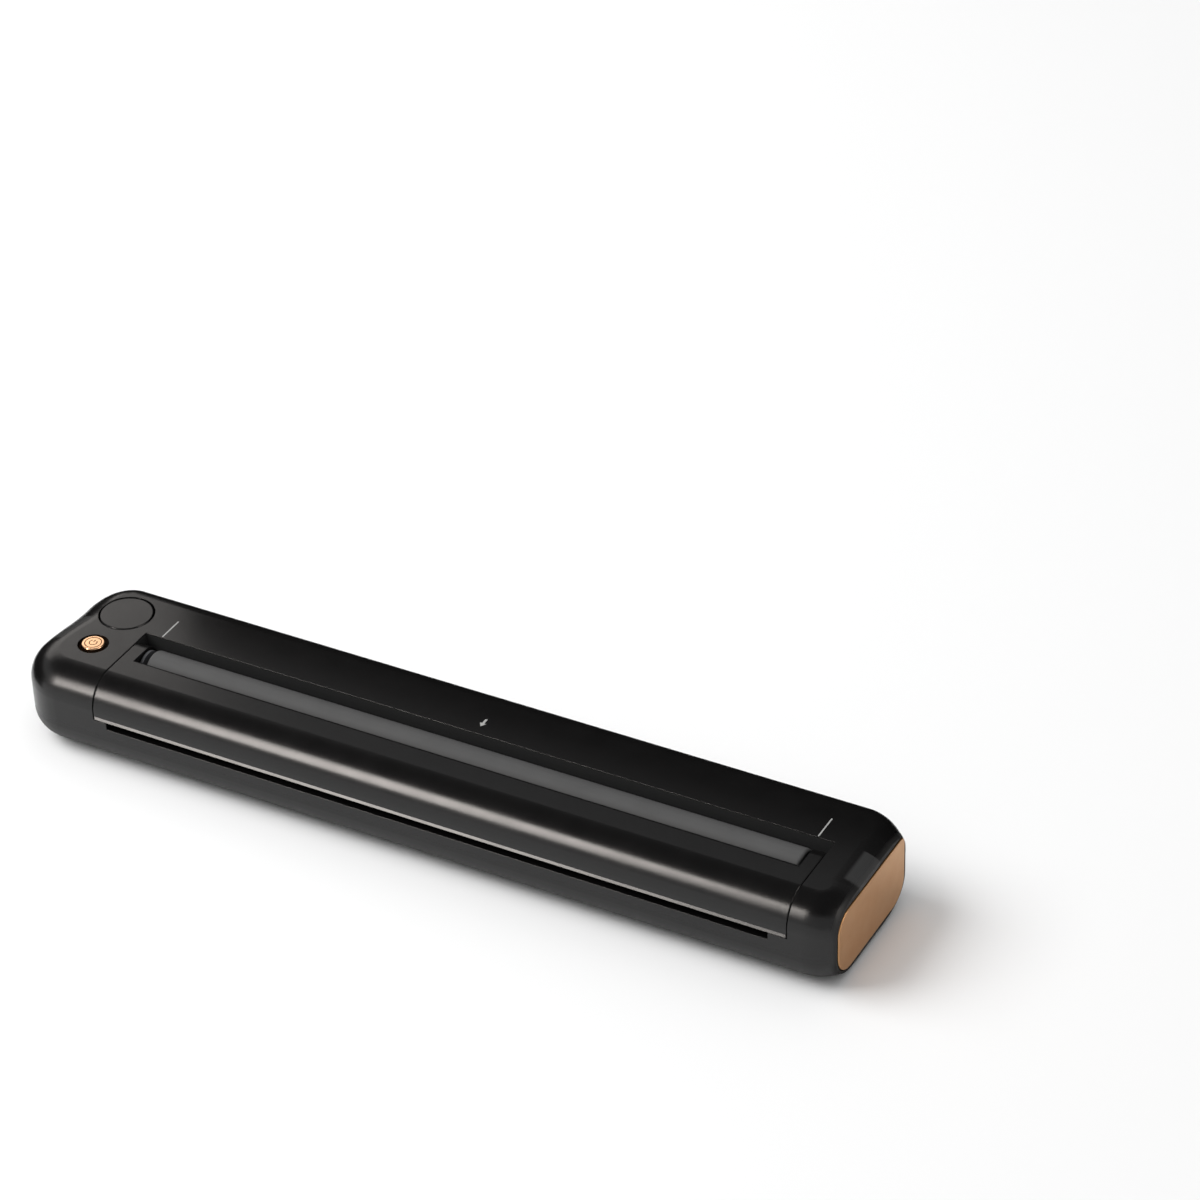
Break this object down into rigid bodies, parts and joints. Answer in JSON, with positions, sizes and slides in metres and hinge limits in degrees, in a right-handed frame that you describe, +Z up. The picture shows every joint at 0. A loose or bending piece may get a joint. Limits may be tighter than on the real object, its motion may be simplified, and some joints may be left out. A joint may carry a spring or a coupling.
{
  "type": "thermal stencil copier",
  "caption": "Slim portable thermal stencil copier with a hinged front cover, an open inlet over a platen roller, a low exit slot, a round release button and a power button.",
  "frame": {"origin": "on the table, under the middle of the body's length and depth", "axes": "+X along the body's length towards the metal end plate, +Y to the rear, +Z up from the table"},
  "size_m": [0.2646, 0.0508, 0.028],
  "materials": {
    "body_plastic": "satin moulded ABS, black",
    "end_metal": "satin anodised, rose gold",
    "button_metal": "turned with fine rings, anodised rose gold",
    "bezel_metal": "dark anodised dish",
    "roller_rubber": "ground silicone rubber",
    "foot_rubber": "soft, matte",
    "steel": "bright drawn or pressed steel",
    "spring_steel": "spring wire",
    "brass": "machined",
    "white_acetal": "moulded acetal, natural",
    "grey_acetal": "moulded acetal, grey",
    "inner_plastic": "moulded ABS, fine texture",
    "print_head_ceramic": "glazed alumina substrate",
    "heat_sink": "extruded, plain",
    "amber_film": "polyimide film over copper tracks",
    "board_green": "solder mask over glass laminate",
    "chip_black": "moulded epoxy",
    "cell_wrap": "shrink wrap over a steel can"
  },
  "bodies": {
    "base": {"main_housing": "body_plastic", "bottom_plate": "body_plastic", "end_plate": "end_metal", "platen_bush_left": "grey_acetal", "platen_bush_right": "grey_acetal", "motor_body": "steel", "gear_plate": "steel", "gear_spacers": "steel", "gear_pins": "steel", "side_frame_left": "steel", "side_frame_right": "steel", "frame_screws": "steel", "head_pins": "steel", "head_springs": "spring_steel", "head_cable": "amber_film", "paper_guide": "inner_plastic", "paper_sensor": "chip_black", "lid_switch": "chip_black", "release_spring": "spring_steel", "power_bezel": "bezel_metal", "power_switch": "chip_black", "button_board": "board_green", "battery_cells": "cell_wrap", "battery_saddles": "inner_plastic", "main_board": "board_green", "board_chips": "chip_black", "usb_socket": "steel", "rubber_feet": "foot_rubber", "housing_screws": "steel"},
    "cover": {"front_cover": "body_plastic", "cover_guide": "inner_plastic"},
    "platen": {"platen_shaft": "steel", "platen_rubber": "roller_rubber", "platen_gear": "white_acetal"},
    "idler": {"idler_gear": "white_acetal"},
    "compound": {"compound_gear": "white_acetal"},
    "motor_rotor": {"motor_pinion": "brass"},
    "head": {"head_ceramic": "print_head_ceramic", "head_bracket": "heat_sink"},
    "release": {"release_button": "body_plastic"},
    "latch": {"latch_slider": "white_acetal"},
    "power": {"power_button": "button_metal"}
  },
  "joints": [
    {"name": "cover_hinge", "type": "hinge", "parent": "base", "child": "cover", "pos_m": [0, -0.00324, 0.0218], "axis": [-1, 0, 0], "range_deg": [0, 75]},
    {"name": "platen_spin", "type": "hinge", "parent": "base", "child": "platen", "pos_m": [0, -0.00324, 0.0218], "axis": [1, 0, 0], "continuous": true},
    {"name": "idler_spin", "type": "hinge", "parent": "base", "child": "idler", "pos_m": [-0.108, -0.00839, 0.01567], "axis": [1, 0, 0], "continuous": true},
    {"name": "compound_spin", "type": "hinge", "parent": "base", "child": "compound", "pos_m": [-0.109, -0.00287, 0.01104], "axis": [1, 0, 0], "continuous": true},
    {"name": "motor_spin", "type": "hinge", "parent": "base", "child": "motor_rotor", "pos_m": [-0.11, 0.00669, 0.01188], "axis": [1, 0, 0], "continuous": true},
    {"name": "head_pivot", "type": "hinge", "parent": "base", "child": "head", "pos_m": [0, 0.00341, 0.009], "axis": [1, 0, 0], "range_deg": [0, 1.8], "stiffness_Nm_per_rad": 0.16, "springref_deg": -8.59, "deforming": ["head_springs"]},
    {"name": "release_press", "type": "slide", "parent": "base", "child": "release", "axis": [0, 0, -1], "range_m": [0, 0.0012], "stiffness_N_per_m": 400, "springref_m": -0.002, "deforming": ["release_spring"]},
    {"name": "latch_slide", "type": "slide", "parent": "base", "child": "latch", "axis": [-1, 0, 0], "range_m": [0, 0.0012]},
    {"name": "power_press", "type": "slide", "parent": "base", "child": "power", "axis": [0, 0, -1], "range_m": [0, 0.0004], "stiffness_N_per_m": 800, "springref_m": -0.001}
  ],
  "couplings": [
    {"joint": "idler_spin", "follows": "platen_spin", "ratio": -0.66667},
    {"joint": "compound_spin", "follows": "platen_spin", "ratio": 1.3333},
    {"joint": "motor_spin", "follows": "platen_spin", "ratio": -4},
    {"joint": "latch_slide", "follows": "release_press", "ratio": 1}
  ]
}
